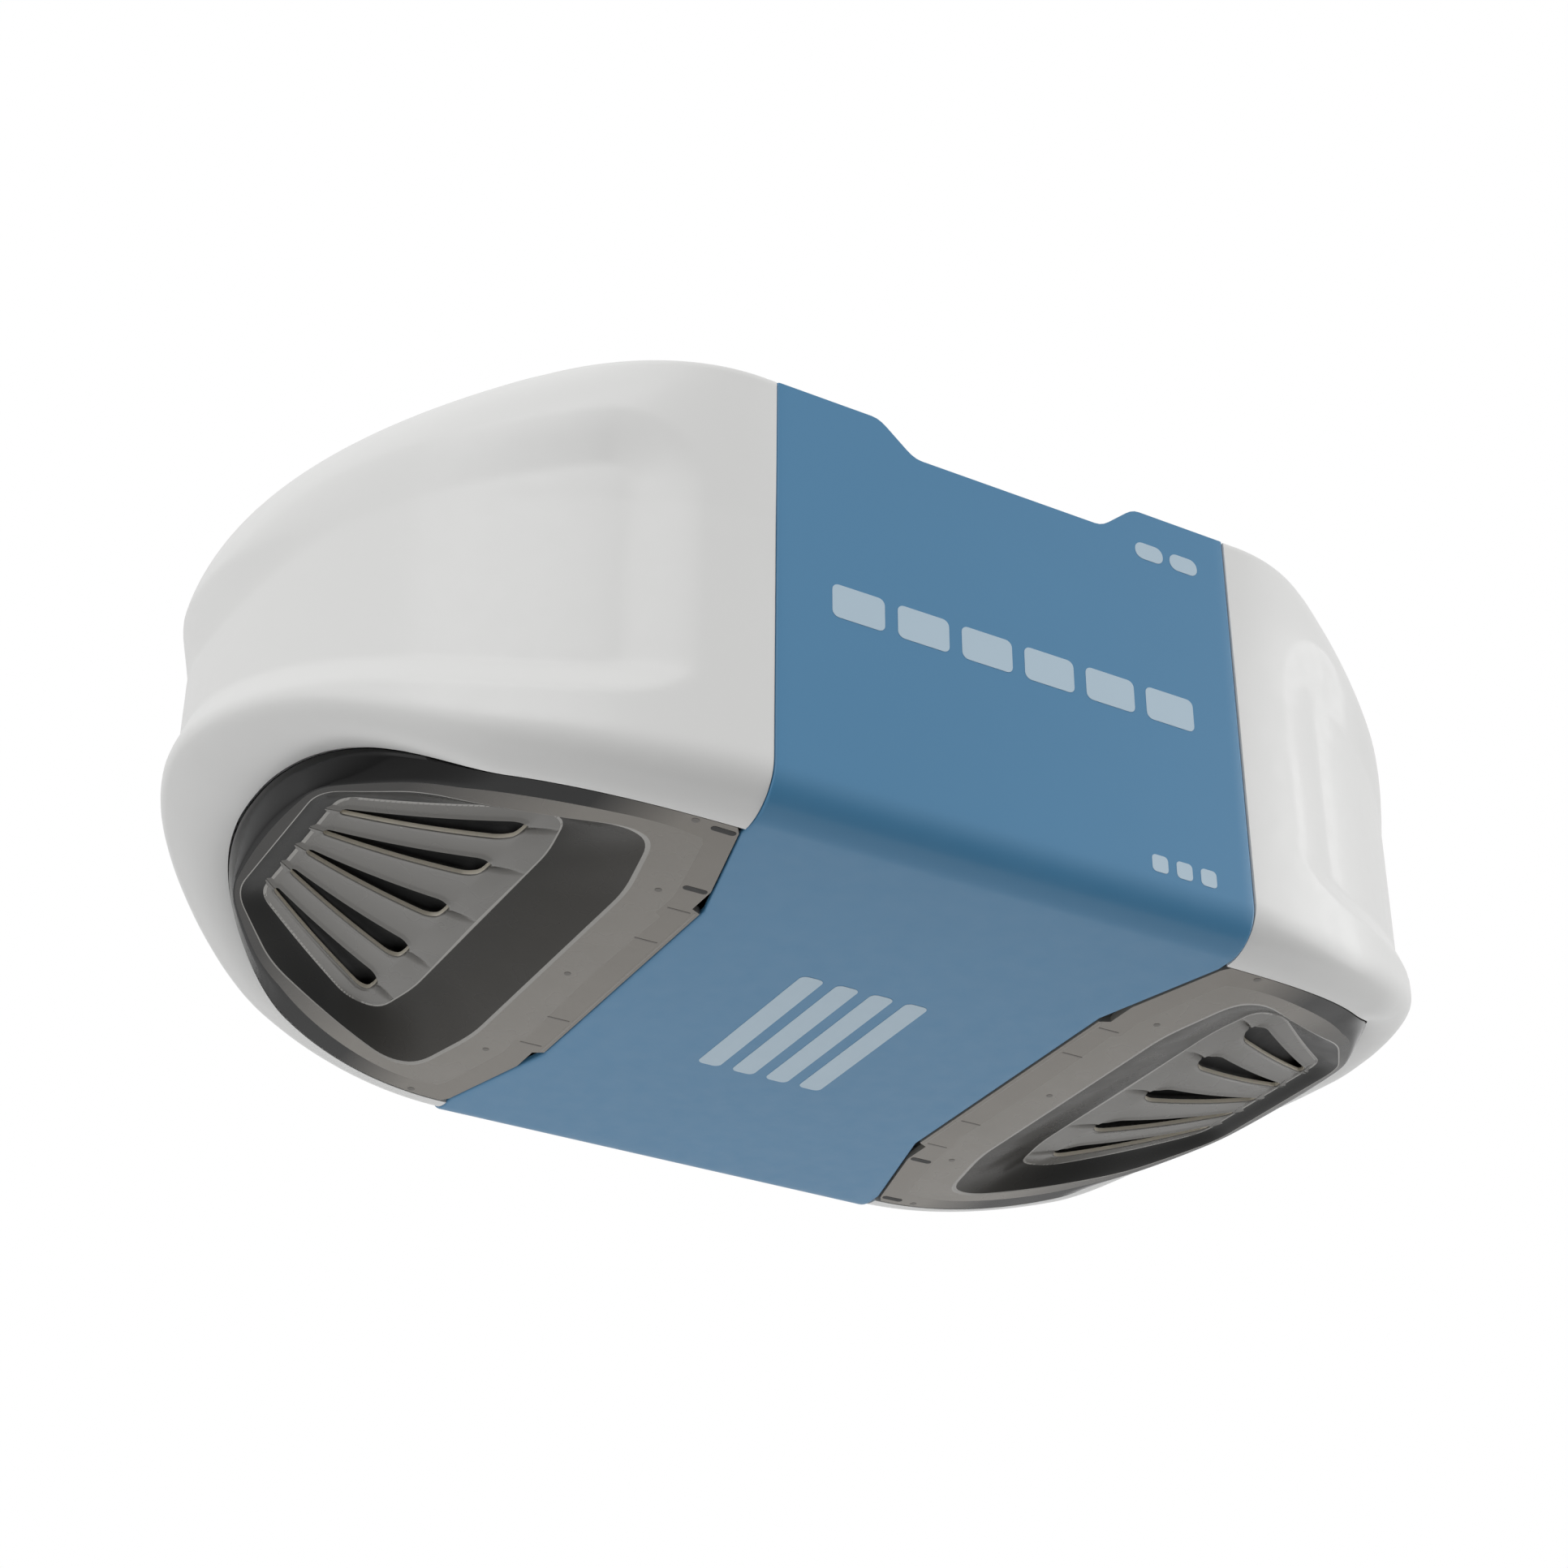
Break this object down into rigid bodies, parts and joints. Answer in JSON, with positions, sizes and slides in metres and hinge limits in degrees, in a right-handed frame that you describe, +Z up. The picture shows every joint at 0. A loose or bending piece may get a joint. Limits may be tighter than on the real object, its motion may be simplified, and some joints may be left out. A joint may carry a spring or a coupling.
{
  "type": "garage door opener",
  "caption": "Ceiling-hung garage door opener power head: bent steel band between two rounded covers, louvred light lenses that hinge down, worm-driven belt sprocket.",
  "frame": {"origin": "middle of the underside, midway between the two ends and between the front and back faces of the band", "axes": "+X towards the right light lens, +Y from the decorated face to the back, where the rail leaves and the controls are, +Z up to the ceiling"},
  "size_m": [0.489, 0.27, 0.1843],
  "materials": {
    "blue_paint": "satin powder coat",
    "white_shell": "fine satin moulding",
    "smoked_lens": "translucent smoked moulding",
    "zinc_steel": "zinc plated",
    "black_plastic": "moulded",
    "motor_steel": "rolled, dull",
    "cast_aluminium": "die cast",
    "shaft_steel": "ground",
    "bush_brass": "sintered",
    "gear_nylon": "moulded",
    "isolator_rubber": "moulded",
    "core_steel": "varnished laminations",
    "winding_tape": "taped winding",
    "board_green": "solder resist",
    "relay_blue": "moulded",
    "ceramic": "glazed",
    "learn_yellow": "moulded",
    "tab_red": "moulded",
    "tab_grey": "moulded"
  },
  "bodies": {
    "frame": {"cover_band": "blue_paint", "right_end_cover": "white_shell", "left_end_cover": "white_shell", "chassis": "zinc_steel", "right_hinge_bar": "black_plastic", "left_hinge_bar": "black_plastic", "right_hanging_flange": "zinc_steel", "left_hanging_flange": "zinc_steel", "hanger_screw_1": "shaft_steel", "hanger_screw_2": "shaft_steel", "hanger_screw_3": "shaft_steel", "hanger_screw_4": "shaft_steel", "rail_bracket": "zinc_steel", "rail_bolt_1": "shaft_steel", "rail_bolt_2": "shaft_steel", "cord_gland": "black_plastic", "right_socket_bracket": "zinc_steel", "left_socket_bracket": "zinc_steel", "right_lamp_socket": "ceramic", "left_lamp_socket": "ceramic", "motor_can": "motor_steel", "motor_end_cap": "cast_aluminium", "motor_hanger": "zinc_steel", "rear_motor_hanger": "zinc_steel", "front_isolator": "isolator_rubber", "rear_isolator": "isolator_rubber", "speed_sensor": "black_plastic", "gear_housing": "cast_aluminium", "gear_housing_lid": "cast_aluminium", "shaft_bushing": "bush_brass", "sprocket_cover": "black_plastic", "transformer_core": "core_steel", "transformer_coil": "winding_tape", "start_capacitor": "black_plastic", "capacitor_clip": "zinc_steel", "logic_board": "board_green", "up_relay": "relay_blue", "down_relay": "relay_blue", "radio_module": "core_steel", "control_panel": "black_plastic", "terminal_block": "tab_grey"},
    "drive": {"output_shaft": "shaft_steel", "worm_wheel": "gear_nylon", "belt_sprocket": "shaft_steel"},
    "rotor": {"motor_shaft": "shaft_steel", "worm": "shaft_steel", "speed_wheel": "black_plastic"},
    "right_lens": {"right_light_lens": "smoked_lens"},
    "left_lens": {"left_light_lens": "smoked_lens"},
    "learn_button_body": {"learn_button": "learn_yellow"},
    "adjust_button_body": {"adjust_button": "tab_grey"},
    "up_button_body": {"up_button": "white_shell"},
    "down_button_body": {"down_button": "white_shell"},
    "wire_tab_1_body": {"wire_tab_1": "tab_red"},
    "wire_tab_2_body": {"wire_tab_2": "white_shell"},
    "wire_tab_3_body": {"wire_tab_3": "white_shell"},
    "wire_tab_4_body": {"wire_tab_4": "tab_grey"}
  },
  "joints": [
    {"name": "drive_turn", "type": "hinge", "parent": "frame", "child": "drive", "pos_m": [0, 0.06, 0.1], "axis": [0, 0, 1], "continuous": true},
    {"name": "motor_turn", "type": "hinge", "parent": "frame", "child": "rotor", "pos_m": [0.038, 0, 0.1], "axis": [0, 1, 0], "continuous": true},
    {"name": "right_lens_open", "type": "hinge", "parent": "frame", "child": "right_lens", "pos_m": [0.0812, 0, 0.0016], "axis": [0, 1, 0], "range_deg": [0, 75]},
    {"name": "left_lens_open", "type": "hinge", "parent": "frame", "child": "left_lens", "pos_m": [-0.0812, 0, 0.0016], "axis": [0, -1, 0], "range_deg": [0, 75]},
    {"name": "learn_press", "type": "slide", "parent": "frame", "child": "learn_button_body", "axis": [0, -1, 0], "range_m": [0, 0.002], "stiffness_N_per_m": 400, "springref_m": -0.001},
    {"name": "adjust_press", "type": "slide", "parent": "frame", "child": "adjust_button_body", "axis": [0, -1, 0], "range_m": [0, 0.002], "stiffness_N_per_m": 400, "springref_m": -0.001},
    {"name": "up_press", "type": "slide", "parent": "frame", "child": "up_button_body", "axis": [0, -1, 0], "range_m": [0, 0.002], "stiffness_N_per_m": 400, "springref_m": -0.001},
    {"name": "down_press", "type": "slide", "parent": "frame", "child": "down_button_body", "axis": [0, -1, 0], "range_m": [0, 0.002], "stiffness_N_per_m": 400, "springref_m": -0.001},
    {"name": "wire_tab_1_press", "type": "slide", "parent": "frame", "child": "wire_tab_1_body", "axis": [0, -1, 0], "range_m": [0, 0.0015], "stiffness_N_per_m": 400, "springref_m": -0.001},
    {"name": "wire_tab_2_press", "type": "slide", "parent": "frame", "child": "wire_tab_2_body", "axis": [0, -1, 0], "range_m": [0, 0.0015], "stiffness_N_per_m": 400, "springref_m": -0.001},
    {"name": "wire_tab_3_press", "type": "slide", "parent": "frame", "child": "wire_tab_3_body", "axis": [0, -1, 0], "range_m": [0, 0.0015], "stiffness_N_per_m": 400, "springref_m": -0.001},
    {"name": "wire_tab_4_press", "type": "slide", "parent": "frame", "child": "wire_tab_4_body", "axis": [0, -1, 0], "range_m": [0, 0.0015], "stiffness_N_per_m": 400, "springref_m": -0.001}
  ],
  "couplings": [
    {"joint": "motor_turn", "follows": "drive_turn", "ratio": 30}
  ]
}
